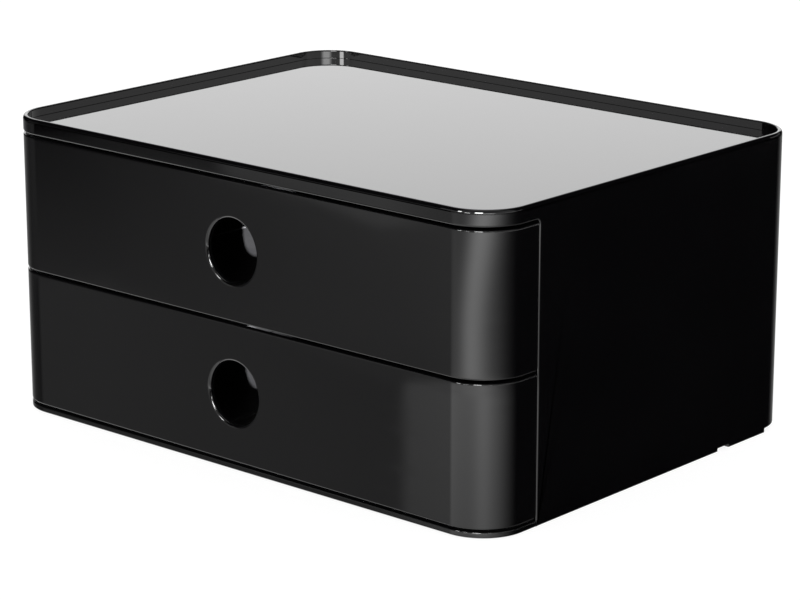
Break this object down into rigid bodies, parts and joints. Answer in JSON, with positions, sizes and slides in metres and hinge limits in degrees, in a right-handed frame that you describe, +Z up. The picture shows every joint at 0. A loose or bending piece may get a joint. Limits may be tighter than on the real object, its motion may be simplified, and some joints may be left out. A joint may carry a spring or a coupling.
{
  "type": "desk drawer box",
  "caption": "Low desktop file box with rounded corners, a recessed tray top and sliding wrap-around drawers opened by round finger holes.",
  "frame": {"origin": "centre of the footprint, on the plane that the feet stand on", "axes": "+Z up, -Y towards the drawer fronts, +X to the right of someone facing the rear of the box from its front"},
  "size_m": [0.26, 0.195, 0.125],
  "materials": {
    "gloss_shell": "mirror-gloss black",
    "gloss_front": "mirror-gloss black",
    "satin_base": "gloss black band, satin floor",
    "satin_tray": "fine satin texture",
    "rail": "smooth, low sheen",
    "foot": "matt soft rubber"
  },
  "bodies": {
    "housing": {"housing_shell": "gloss_shell", "base_plate": "satin_base", "upper_rail_left": "rail", "upper_rail_right": "rail", "lower_rail_left": "rail", "lower_rail_right": "rail", "foot_front_left": "foot", "foot_front_right": "foot", "foot_rear_left": "foot", "foot_rear_right": "foot"},
    "drawer_upper": {"drawer_upper_front": "gloss_front", "drawer_upper_tray": "satin_tray"},
    "drawer_lower": {"drawer_lower_front": "gloss_front", "drawer_lower_tray": "satin_tray"}
  },
  "joints": [
    {"name": "drawer_upper_slide", "type": "slide", "parent": "housing", "child": "drawer_upper", "axis": [0, -1, 0], "range_m": [0, 0.12]},
    {"name": "drawer_lower_slide", "type": "slide", "parent": "housing", "child": "drawer_lower", "axis": [0, -1, 0], "range_m": [0, 0.12]}
  ]
}
